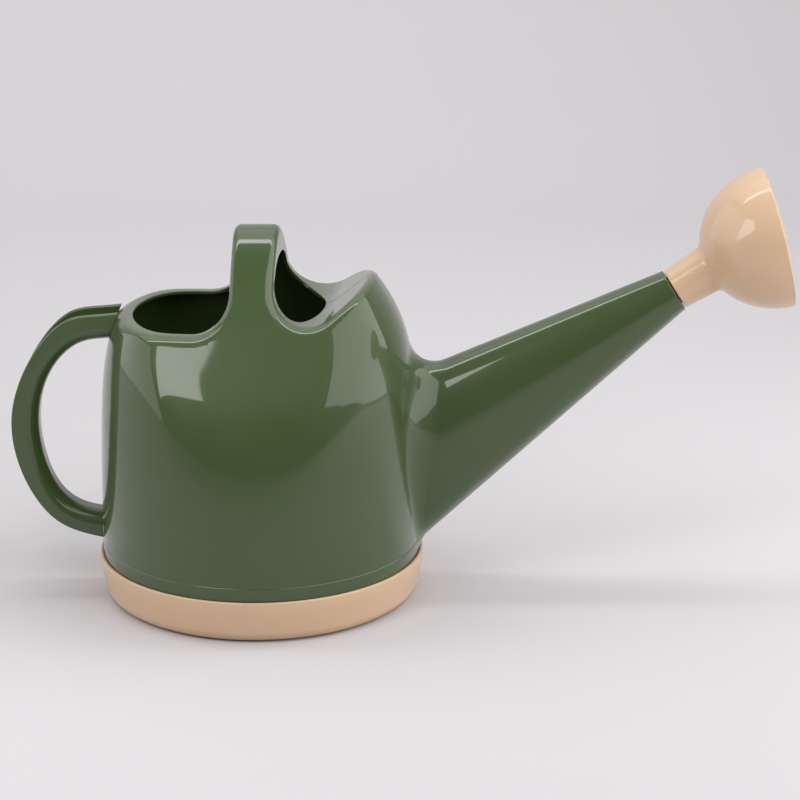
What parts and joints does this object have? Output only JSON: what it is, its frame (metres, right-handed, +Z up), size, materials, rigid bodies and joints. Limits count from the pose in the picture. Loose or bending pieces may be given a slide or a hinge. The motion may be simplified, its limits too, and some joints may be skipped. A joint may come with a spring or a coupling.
{
  "type": "watering can",
  "caption": "Round plastic watering can with a bridge grip over the mouth, a channel rear handle, a long conical spout and a pull-off turning rose.",
  "frame": {"origin": "on the floor, at the centre of the base cup's underside, on the round tank's axis", "axes": "+Z up, +X along the spout, Y across; the XZ plane is the plane of symmetry"},
  "size_m": [0.4782, 0.202, 0.2667],
  "materials": {
    "green_plastic": "glossy moulded olive green plastic",
    "cream_plastic": "satin moulded warm cream plastic",
    "seal_rubber": "matt black rubber"
  },
  "bodies": {
    "can": {"tank_shell": "green_plastic", "tank_shoulder": "green_plastic", "bridge_grip": "green_plastic", "spout": "green_plastic", "rear_handle": "green_plastic", "base_cup": "cream_plastic"},
    "rose_ring": {"rose_ring": "seal_rubber"},
    "rose": {"rose_collar": "cream_plastic", "rose_bell": "cream_plastic", "rose_face": "cream_plastic"}
  },
  "joints": [
    {"name": "rose_pull", "type": "slide", "parent": "can", "child": "rose_ring", "axis": [0.8406, 0, 0.5417], "range_m": [0, 0.035]},
    {"name": "rose_turn", "type": "hinge", "parent": "rose_ring", "child": "rose", "pos_m": [0.2534, 0, 0.1915], "axis": [0.8406, 0, 0.5417], "continuous": true}
  ]
}
